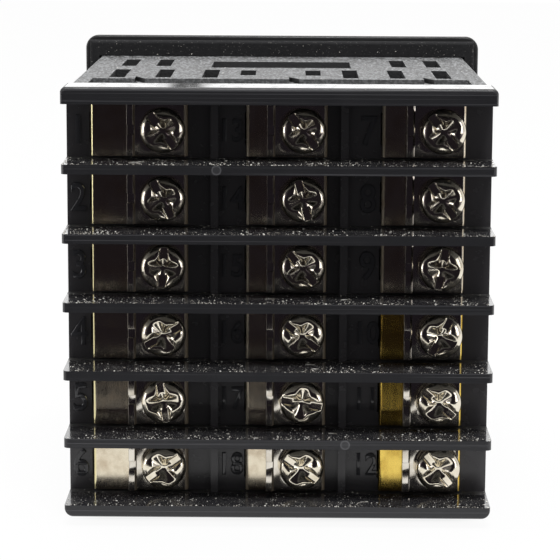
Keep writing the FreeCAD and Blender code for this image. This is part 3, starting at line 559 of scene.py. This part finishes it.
def add_thread(shape):
    """Spins one tooth down the shank, with a plain core that closes its end."""
    tooth = [(THREAD_ROOT, 0), (THREAD_RADIUS, CREST_FROM), (THREAD_RADIUS, CREST_TO), (THREAD_ROOT, THREAD_PITCH)]
    verts = [shape.verts.new((r, 0, -down)) for r, down in tooth]
    edges = [shape.edges.new(pair) for pair in zip(verts, verts[1:])]
    bmesh.ops.spin(shape, geom=verts + edges, cent=(0, 0, 0), axis=(0, 0, 1), steps=THREAD_TURNS * THREAD_STEPS,
                   dvec=(0, 0, -THREAD_PITCH / THREAD_STEPS), angle=THREAD_TURNS * 2 * math.pi)
    bmesh.ops.create_cone(shape, cap_ends=True, segments=24, radius1=CORE_TIP, radius2=CORE_TOP,
                          depth=THREAD_LENGTH, matrix=Matrix.Translation((0, 0, -THREAD_LENGTH / 2)))


def screw_mesh():
    """A head with its softened cross and its crisper slot, on a thread."""
    slot = bar((3 * HEAD_RADIUS, SLOT_WIDTH, 2 * SLOT_DEPTH), (0, 0, HEAD_HEIGHT))
    lobed, shape = bmesh.new(), bmesh.new()
    lobed.from_mesh(carved("lobed_head", domed_head(), [cross_punch()], HEAD_VOXEL, CROSS_ROUNDS))
    shape.from_mesh(carved("slotted_head", lobed, [slot], HEAD_VOXEL, SLOT_ROUNDS))
    add_thread(shape)
    return new_mesh("terminal_screw", shape)


print("thread:", THREAD_TURNS, "turns of", THREAD_PITCH, "mm")

# %% Eighteen screws in place
SLOT_TURNS = (
    -53, -63, 86, 30, -80, 35,
    -52, -55, 80, 62, -40, -50,
    -52, -75, -50, -38, -10, -35,
)
NUMBERS = [f"{number:02d}" for number in range(1, 19)]
blank_screw = screw_mesh()
for number, turn in zip(NUMBERS, SLOT_TURNS):
    low, high = corners(f"terminal_screw_{number}")
    seat = (low + high) / 2
    seat.y = low.y + HEAD_HEIGHT * MM
    mesh = blank_screw.copy()
    mesh.transform(Matrix.Translation(seat) @ TO_REAR @ Matrix.Rotation(math.radians(turn), 4, "Z"))
    screw = new_piece(f"screw_{number}_detailed", mesh, FINISHES["screw_steel"], f"screw_{number}")
    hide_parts(f"terminal_screw_{number}")
print(len(NUMBERS), "screws of", len(blank_screw.polygons), "faces")

# %% [markdown]
# ## Clamp washers
# Each screw carries a square washer that is folded up along its left edge, with a notch in the fold, so that a wire
# can't slip out to that side. The washer is drawn as its cross-section, six points, and pulled out to its width,
# since a bent sheet would need its thickness added afterwards. The fold is rounded inside, as pressing leaves it,
# then the hole and the notch are cut, and at the end every edge that is still sharp is broken a little, because a
# real edge always catches a thin line of light.

# %% Shape of a washer
WASHER_THICK, WASHER_LEFT, WASHER_RIGHT = 0.8, -3.75, 2.2
FOLD_WIDTH, FOLD_HEIGHT, NOTCH_WIDTH = 0.7, 1.3, 1.0
FOLD_EDGE, FOLD_INSIDE, BROKEN_EDGE, SHARP = 0.14, 0.2, 0.09, 0.7
HOLE_RADIUS, HOLE_DEPTH = 1.7, 4
first_low, first_high = corners("clamp_washer_01")
WASHER_WIDTH = (first_high.z - first_low.z) / MM


def washer_mesh():
    """A folded washer that lies on zero, with its screw at the middle."""
    fold_right = WASHER_LEFT + FOLD_WIDTH
    inside, edge = (fold_right, WASHER_THICK), (fold_right, FOLD_HEIGHT)
    section = [(WASHER_LEFT, 0), (WASHER_RIGHT, 0), (WASHER_RIGHT, WASHER_THICK), inside, edge,
               (WASHER_LEFT, FOLD_HEIGHT)]
    shape = bmesh.new()
    end = shape.faces.new([shape.verts.new((x, -WASHER_WIDTH / 2, z)) for x, z in section])
    pulled(shape, [end], (0, WASHER_WIDTH, 0))

    def along(x, z):
        return [e for e in shape.edges
                if all(abs(v.co.x - x) < TOUCHING and abs(v.co.z - z) < TOUCHING for v in e.verts)]

    rounded(shape, along(*edge), FOLD_EDGE, 3)
    rounded(shape, along(*inside), FOLD_INSIDE, 4)
    hole = bmesh.new()
    bmesh.ops.create_cone(hole, cap_ends=True, segments=40, radius1=HOLE_RADIUS, radius2=HOLE_RADIUS,
                          depth=HOLE_DEPTH)
    notch_size = (2 * FOLD_WIDTH + 0.1, NOTCH_WIDTH, 2 * (FOLD_HEIGHT - WASHER_THICK) + 0.05)
    notch = bar(notch_size, (WASHER_LEFT, 0, FOLD_HEIGHT))
    finer = bmesh.new()
    finer.from_mesh(carved("clamp_washer", shape, [hole, notch]))
    sharp = [e for e in finer.edges if len(e.link_faces) == 2 and e.calc_face_angle() > SHARP]
    rounded(finer, sharp, BROKEN_EDGE, 3)
    return new_mesh("clamp_washer", finer)


print("washer:", WASHER_RIGHT - WASHER_LEFT, "by", round(WASHER_WIDTH, 2), "mm")

# %% Eighteen washers in place
WASHER_CREASE = 20
blank_washer = washer_mesh()
for number in NUMBERS:
    low, high = corners(f"clamp_washer_{number}")
    middle = Vector((low.x - WASHER_LEFT * MM, high.y, (low.z + high.z) / 2))
    mesh = blank_washer.copy()
    mesh.transform(Matrix.Translation(middle) @ TO_REAR)
    washer = new_piece(f"washer_{number}_detailed", mesh, FINISHES["washer_steel"], f"clamp_{number}",
                       WASHER_CREASE)
    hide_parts(f"clamp_washer_{number}")
print(len(NUMBERS), "washers of", len(blank_washer.polygons), "faces")

# %% [markdown]
# ## Terminal numbers
# The numbers are cut into the mould, so they stand a little proud of the black wall beside each plate and show only
# by the glints on their edges. A bump could draw them, but then they would be missing in the exported shape. A text
# object already has a bevel; it is made a mesh before it is put in its place, and all eighteen are joined into one
# piece. Its finish is the block's black again, smoother, and painted a shade lighter, as painted light, so that the
# numbers show on the shaded wall.

# %% Numbers on the block
NUMBER_RISE, NUMBER_EDGE, NUMBER_DROP = 0.12, 0.09, 0.3
NUMBER_HEIGHTS = {1: 2.9, 2: 2.3}
NUMBER_SHARE, NUMBER_NARROW = 0.7, 0.85
NUMBER_X = {"left": -21.0, "middle": -5.05, "right": 9.3}
COLUMNS, ROWS = ("left", "right", "middle"), 6
PLATE_RISE = 0.8
WALL_FACE = corners("left_plates")[0].y / MM + PLATE_RISE
# painted light: the numbers are a shade lighter than the block so that they show in the shaded cells
lightened_number_plastic, place = new_finish("lightened_number_plastic", (0.03, 0.03, 0.033), 0.1)
feed(lightened_number_plastic, "Roughness", place.noise(0.8, 2.0).band(0.3, 0.7) * 0.1 + 0.06)


def raised_number(text, middle):
    """A number with rounded edges, standing on the wall; a digit fills only a share of its type size."""
    letters = bpy.data.curves.new("number", "FONT")
    letters.body, letters.size = text, NUMBER_HEIGHTS[len(text)] / NUMBER_SHARE
    letters.align_x, letters.align_y = "CENTER", "CENTER"
    letters.extrude, letters.bevel_depth, letters.bevel_resolution = NUMBER_RISE, NUMBER_EDGE, 2
    text_object = bpy.data.objects.new("number", letters)
    mesh = bpy.data.meshes.new_from_object(text_object)
    bpy.data.objects.remove(text_object)
    narrow = Matrix.Diagonal((NUMBER_NARROW, 1, 1, 1))
    mesh.transform(Matrix.Translation(Vector(middle) * MM) @ TO_REAR @ narrow)
    return mesh


numbers = bmesh.new()
for index, number in enumerate(NUMBERS):
    low, high = corners(f"terminal_screw_{number}")
    column = COLUMNS[index // ROWS]
    level = (low.z + high.z) / 2 / MM - NUMBER_DROP
    numbers.from_mesh(raised_number(str(index + 1), (NUMBER_X[column], WALL_FACE, level)))
number_piece = new_piece("terminal_numbers", new_mesh("terminal_numbers", numbers), lightened_number_plastic, "housing")
print("numbers:", len(number_piece.data.polygons), "faces")

# %% [markdown]
# ## Display and keys
# On the operator's side the display shows two rows of four digits, unlit, each made of seven flat bars. A bar is a
# circle of six points, stretched, so that its ends are pointed as the real ones are. The whole row is sheared a
# little, because such digits lean. The keys are soft caps with a flange behind the frame, and each carries a plain
# mark. A cap is a block whose upright edges are rounded first and its face's edges after that, since a bevel of all
# edges at once would give both the same radius.

# %% Bars and digits
SEGMENT_RISE, LEAN = 0.12, 0.12
DIGIT_WIDTH, BAR_WIDTH, FLAT_LENGTH, UPRIGHT_LENGTH = 0.5, 0.12, 0.92, 0.46
POINT_RADIUS, POINT_AT = 0.55, 0.76
SEGMENT_GREYS = (0.26, 0.21, 0.20), (0.34, 0.27, 0.26)
segment_paint, place = new_finish("segment_paint", (0.30, 0.24, 0.23), 0.45)
feed(segment_paint, "Base Color", place.noise(0.8, 3.0).blend(*SEGMENT_GREYS))


def flat_bar(shape, length, width, at, upright):
    """Lays one pointed bar on the drawing plane."""
    quarter = Matrix.Rotation(math.pi / 2, 4, "Z")
    turn = quarter if upright else Matrix.Identity(4)
    laid = Matrix.Translation((*at, 0)) @ turn @ Matrix.Diagonal((length / 2, width / 2, 1, 1))
    bmesh.ops.create_circle(shape, cap_ends=True, segments=6, radius=1.0, matrix=laid @ quarter)


def digit(shape, height, x, y):
    """Seven bars and a point."""
    width, thick = DIGIT_WIDTH * height, BAR_WIDTH * height
    for level in (-0.5, 0, 0.5):
        flat_bar(shape, FLAT_LENGTH * width, thick, (x, y + level * height), False)
    for side in (-0.5, 0.5):
        for level in (-0.25, 0.25):
            flat_bar(shape, UPRIGHT_LENGTH * height, thick, (x + side * width, y + level * height), True)
    bmesh.ops.create_circle(shape, cap_ends=True, segments=12, radius=POINT_RADIUS * thick,
                            matrix=Matrix.Translation((x + POINT_AT * width, y - 0.5 * height, 0)))


print("digit finish:", segment_paint.name)

# %% Two rows of unlit digits
DIGIT_ROWS, DIGITS_IN_ROW = ((8.0, 7.8, 4.1), (5.4, 6.2, -4.9)), 4
segments = bmesh.new()
for height, pitch, level in DIGIT_ROWS:
    for index in range(DIGITS_IN_ROW):
        digit(segments, height, (index - (DIGITS_IN_ROW - 1) / 2) * pitch, level)
bmesh.ops.transform(segments, matrix=Matrix.Shear("XZ", 4, (LEAN, 0.0)), verts=segments.verts)
pulled(segments, segments.faces[:], (0, 0, SEGMENT_RISE))
low, high = corners("led_display")
mesh = new_mesh("display_digits", segments)
mesh.transform(Matrix.Translation(((low.x + high.x) / 2, high.y, (low.z + high.z) / 2)) @ TO_FRONT)
digits = new_piece("display_digits", mesh, segment_paint, "housing")
print("digits:", len(digits.data.polygons), "faces")

# %% Keys and their marks
KEY_SIZE, KEY_FLANGE, FLANGE_THICK, KEY_CORNER, KEY_ROUND = (7.2, 4.4), (8.4, 5.6), 0.8, 0.9, 0.45
KEY_BACK, MARK_RISE, MARK_RADIUS = 2.4, 0.04, 1.25
MARKS = {"key_up": (3, 0), "key_down": (3, 180), "key_shift": (3, 90), "key_mode": (20, 0)}
PRINT_GREYS = (0.52, 0.52, 0.50), (0.70, 0.70, 0.68)
key_print, place = new_finish("key_print", (0.62, 0.62, 0.60), 0.6)
feed(key_print, "Base Color", place.noise(0.3, 3.0).blend(*PRINT_GREYS))


def cushioned(size, depth, top):
    """A block with rounded corners that reaches down from this height."""
    shape = bar((*size, depth), (0, 0, top - depth / 2))
    rounded(shape, [e for e in shape.edges if abs(e.verts[0].co.z - e.verts[1].co.z) > 0.1], KEY_CORNER, 5)
    return shape


def key_shape(depth):
    """A soft cap on its flange, with its face at zero."""
    cap = cushioned(KEY_SIZE, depth, 0)
    rounded(cap, [e for e in cap.edges if all(v.co.z > -TOUCHING for v in e.verts)], KEY_ROUND, 4)
    cap.from_mesh(new_mesh("flange", cushioned(KEY_FLANGE, FLANGE_THICK, -depth)))
    return cap


for key, (points, turn) in MARKS.items():
    low, high = corners(key)
    face = Vector(((low.x + high.x) / 2, high.y - MARK_RISE * MM, (low.z + high.z) / 2))
    mesh = new_mesh(f"{key}_cap", key_shape(KEY_BACK - MARK_RISE))
    mesh.transform(Matrix.Translation(face) @ TO_FRONT)
    cap = new_piece(f"{key}_detailed", mesh, key_rubber, key)
    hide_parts(key)
    mark = bmesh.new()
    bmesh.ops.create_circle(mark, cap_ends=True, segments=points, radius=MARK_RADIUS)
    bmesh.ops.rotate(mark, verts=mark.verts, matrix=Matrix.Rotation(math.radians(turn), 3, "Z"))
    pulled(mark, mark.faces[:], (0, 0, MARK_RISE))
    mesh = new_mesh(f"{key}_mark", mark)
    mesh.transform(Matrix.Translation(face) @ TO_FRONT)
    new_piece(f"{key}_mark", mesh, key_print, key)
print("keys:", ", ".join(MARKS))

# %% [markdown]
# ## Dust
# The object has been in use, and grit lies where it could settle: on every barrier, thickest along its rear edge,
# and a little on the case and on the gasket. A crumb is a squashed sphere of twenty faces, and a fibre is a thin
# triangle spun along a short arc, so that thousands of them stay light. A particle system could strew them, but
# their places would then depend on its settings. Here they are drawn at random from a fixed seed, so that each run
# gives the same.

# %% Crumbs and fibres
CRUMB_COLOUR, CRUMB_PALE = (0.24, 0.22, 0.19), (0.74, 0.72, 0.67)
CRUMB_SMALLEST, CRUMB_SPREAD, CRUMB_POWER = 0.028, 0.08, 4
FIBRE_RADIUS, FIBRE_STEPS = 0.022, 7
SEED = 11
dust, place = new_finish("dust", CRUMB_COLOUR, 0.8)
feed(dust, "Base Color", place.noise(0.5, 1.0).band(0.35, 0.65).blend(CRUMB_COLOUR, CRUMB_PALE))
chance = random.Random(SEED)


def crumb(shape, at):
    """Drops one crumb of grit, mostly small ones."""
    size = CRUMB_SMALLEST + CRUMB_SPREAD * chance.random() ** CRUMB_POWER
    squash = Matrix.Diagonal((1.3, chance.uniform(0.6, 1.0), chance.uniform(0.4, 0.8), 1))
    turn = Matrix.Rotation(chance.uniform(0, math.tau), 4, "Z")
    bmesh.ops.create_icosphere(shape, subdivisions=1, radius=size, matrix=Matrix.Translation(at) @ turn @ squash)


def fibre(shape, at):
    """Lays one curled thread."""
    bend, sweep = chance.uniform(0.4, 1.2), chance.uniform(1.0, 2.4)
    upright = Matrix.Translation((bend, 0, 0)) @ Matrix.Rotation(math.pi / 2, 4, "X")
    ring = bmesh.ops.create_circle(shape, segments=3, radius=FIBRE_RADIUS, matrix=upright)["verts"]
    edges = list({edge for vert in ring for edge in vert.link_edges})
    bmesh.ops.spin(shape, geom=ring + edges, cent=(0, 0, 0), axis=(0, 0, 1), steps=FIBRE_STEPS, angle=sweep)
    made = [v for v in shape.verts if not v.tag]
    turn = Matrix.Rotation(chance.uniform(0, math.tau), 4, "Z")
    bmesh.ops.transform(shape, matrix=Matrix.Translation(at) @ turn, verts=made)
    for vert in made:
        vert.tag = True


print("dust finish:", dust.name, "with seed", SEED)

# %% Dust on the barriers
CELL_HEIGHT, BARRIER_DEPTH, CASE_HALF = 6.15, 6.4, 22.0
CLUMPS, CRUMBS_IN_CLUMP, CLUMP_SPREAD = 40, 16, (0.4, 2.5)
EDGE_GAP, EDGE_POWER, CRUMB_LIFT = 0.17, 2.6, 0.01
FIBRES_ON_BARRIER, FIBRE_ACROSS, FIBRE_INWARD, FIBRE_LIFT = 3, (-18, 18), (1, 3), 0.04
rear_edge = corners("terminal_block")[0].y / MM
grit, lint = bmesh.new(), bmesh.new()


def barrier_grit(top):
    """Grit on one barrier, in loose clumps and thickest along the rear edge."""
    shape = bmesh.new()
    for _ in range(CLUMPS):
        clump, spread = chance.uniform(-CASE_HALF, CASE_HALF), chance.uniform(*CLUMP_SPREAD)
        for _ in range(CRUMBS_IN_CLUMP):
            across = min(max(chance.gauss(clump, spread), -CASE_HALF), CASE_HALF)
            inward = EDGE_GAP + BARRIER_DEPTH * chance.random() ** EDGE_POWER
            crumb(shape, (across, rear_edge + inward, top + CRUMB_LIFT))
    return new_mesh("barrier_grit", shape)


for number in NUMBERS[:ROWS]:
    low, high = corners(f"terminal_screw_{number}")
    top = (low.z + high.z) / 2 / MM - CELL_HEIGHT / 2
    grit.from_mesh(barrier_grit(top))
    for _ in range(FIBRES_ON_BARRIER):
        at = (chance.uniform(*FIBRE_ACROSS), rear_edge + chance.uniform(*FIBRE_INWARD), top + FIBRE_LIFT)
        fibre(lint, at)
print("on", ROWS, "barriers:", len(grit.faces), "faces of grit and", len(lint.faces), "of lint")

# %% Dust on the case and the gasket
CASE_CRUMBS, CASE_ALONG = 120, (-38, -0.5)
GASKET_CRUMBS, GASKET_REAR, GASKET_UP = 60, -0.005, (22.3, 23.8)
case_mesh = frame["nodes"]["case"].data
case_faces = BVHTree.FromPolygons([v.co for v in case_mesh.vertices], [p.vertices for p in case_mesh.polygons])
sprinkled = bmesh.new()
for _ in range(CASE_CRUMBS):
    above = Vector((chance.uniform(-CASE_HALF, CASE_HALF), chance.uniform(*CASE_ALONG), 2 * CASE_HALF)) * MM
    landed = case_faces.ray_cast(above, (0, 0, -1))[0]
    if landed and landed.z > 0:
        crumb(sprinkled, landed / MM)
for _ in range(GASKET_CRUMBS):
    crumb(sprinkled, (chance.uniform(-CASE_HALF, CASE_HALF), GASKET_REAR, chance.uniform(*GASKET_UP)))
grit.from_mesh(new_mesh("sprinkled", sprinkled))
for name, shape in (("grit", grit), ("lint", lint)):
    mesh = new_mesh(name, shape)
    mesh.transform(Matrix.Scale(MM, 4))
    piece = new_piece(name, mesh, dust, "housing")
    print(name, len(piece.data.polygons), "faces")

# %% [markdown]
# ## Light and floor
# The photograph was taken on white paper with light from above, behind and both sides, and the photographer's side
# is dark: that is why the flat plates look black while their edges shine. The world does the same for everything but
# the camera, which sees plain white. A thin dark break in its bright back shows in the reflection on the block's
# lip. A little light is added for rays that come off a matt surface, so that the shaded walls don't sink into black
# while the mirrors stay dark. The paper ends a little in front of the object, so that only the lowest row of plates
# mirrors it. It is white by its own glow, which is left out under the case, where no light would get in.

# %% World
DARK_AT, SIDE_LIT_AT = -0.5, 0.1
BACK_FROM, BACK_LIT_AT = 0.3, 0.95
SIDE_LIGHT, BACK_LIGHT, MATT_LIGHT, LEAST_LIGHT = 0.7, 1.1, 0.4, 0.014
BREAK_LEAN, BREAK_FROM, BREAK_TO, BREAK_SHARE = 0.047, 0.004, 0.011, 0.95
WHITE, DIM_VIOLET = (1, 1, 1), (0.90, 0.74, 1.0)

world = bpy.data.worlds.new("tent")
bpy.context.scene.world = world
world.use_nodes = True
tree = world.node_tree
tree.nodes.clear()
direction = Wire(tree).node("ShaderNodeTexCoord", out="Generated")
back = direction.part("Y")
sides = back.band(DARK_AT, SIDE_LIT_AT)
scattered = direction.node("ShaderNodeLightPath", out="Is Diffuse Ray")
seen = direction.node("ShaderNodeLightPath", out="Is Camera Ray")
off_break = direction.math("ABSOLUTE", direction.part("X") + back * BREAK_LEAN).band(BREAK_FROM, BREAK_TO)
bright = sides * SIDE_LIGHT + back.band(BACK_FROM, BACK_LIT_AT) * BACK_LIGHT
tent = bright * (off_break * BREAK_SHARE + (1 - BREAK_SHARE)) + scattered * MATT_LIGHT + LEAST_LIGHT
hue = (seen + (1 - seen) * sides + scattered).band(0.0, 1.0).blend(DIM_VIOLET, WHITE)
light = direction.node("ShaderNodeBackground", {}, {"Color": hue, "Strength": seen + (1 - seen) * tent})
tree.links.new(light.socket, tree.nodes.new("ShaderNodeOutputWorld").inputs["Surface"])
print("world: white to the camera, dark on the photographer's side")

# %% Floor
PAPER_FRONT, PAPER_SIZE, PAPER_GLOW = -0.081, (1.4, 1.1), 0.95
LIT_BESIDE, DARK_WITHIN = 22 * MM, 18 * MM
LIT_BEHIND, DARK_FROM = -47 * MM, -36 * MM
LIT_BEFORE, DARK_UNTIL = 7 * MM, -3 * MM
floor_level = cad_box[0][2]
floor_shape = bmesh.new()
bmesh.ops.create_grid(floor_shape, x_segments=1, y_segments=1, size=0.5)
bmesh.ops.scale(floor_shape, verts=floor_shape.verts, vec=(*PAPER_SIZE, 1))
bmesh.ops.translate(floor_shape, verts=floor_shape.verts, vec=(0, PAPER_FRONT + PAPER_SIZE[1] / 2, floor_level))
floor_mesh = bpy.data.meshes.new("paper")
floor_shape.to_mesh(floor_mesh)
floor_shape.free()

paper, place = new_finish("paper", (0.62, 0.62, 0.62), 0.9)
across, along = place.math("ABSOLUTE", place.part("X")), place.part("Y")
under = across.band(LIT_BESIDE, DARK_WITHIN) * along.band(LIT_BEHIND, DARK_FROM) * along.band(LIT_BEFORE, DARK_UNTIL)
rays = place.node("ShaderNodeLightPath", out="Is Camera Ray") \
    + place.node("ShaderNodeLightPath", out="Is Glossy Ray") \
    + place.node("ShaderNodeLightPath", out="Is Transmission Ray")
glow = place.node("ShaderNodeEmission", {}, {"Color": (*WHITE, 1), "Strength": 1.0})
plain = Wire(paper.node_tree, paper.node_tree.nodes["Principled BSDF"].outputs[0])
mixed = place.node("ShaderNodeMixShader", {}, {0: rays * (1 - under) * PAPER_GLOW, 1: plain, 2: glow})
paper.node_tree.links.new(mixed.socket, paper.node_tree.nodes["Material Output"].inputs["Surface"])
floor_mesh.materials.append(paper)
floor = bpy.data.objects.new("floor", floor_mesh)
bpy.context.scene.collection.objects.link(floor)
print("floor at", round(floor_level / MM, 1), "mm")

# %% [markdown]
# ## Lamps
# Four area lamps give the highlights that the world alone would leave too soft: a wide one above, a stronger one
# high in front for the tops of the barriers and the screws, and an upright strip at each side for the edges. Each is
# turned so that it looks at the origin.

# %% Four lamps
LAMPS = {
    "softbox": ((-0.05, 0.05, 0.55), (0.5, 0.4), 0.8),
    "front_lamp": ((0.04, -0.38, 0.64), (0.24, 0.18), 4.6),
    "left_strip": ((-0.55, -0.12, 0.10), (0.08, 0.40), 0.45),
    "right_strip": ((0.48, -0.24, 0.10), (0.16, 0.30), 0.36),
}
for name, (at, (width, depth), watts) in LAMPS.items():
    lamp = bpy.data.lights.new(name, "AREA")
    lamp.shape, lamp.size, lamp.size_y, lamp.energy = "RECTANGLE", width, depth, watts
    holder = bpy.data.objects.new(name, lamp)
    towards = Vector(at).to_track_quat("Z", "Y")
    holder.matrix_world = Matrix.Translation(at) @ towards.to_matrix().to_4x4()
    bpy.context.scene.collection.objects.link(holder)
    print(name, watts, "W")

# %% [markdown]
# ## Sizes
# New pieces are meant to refine the solids, not to outgrow them.
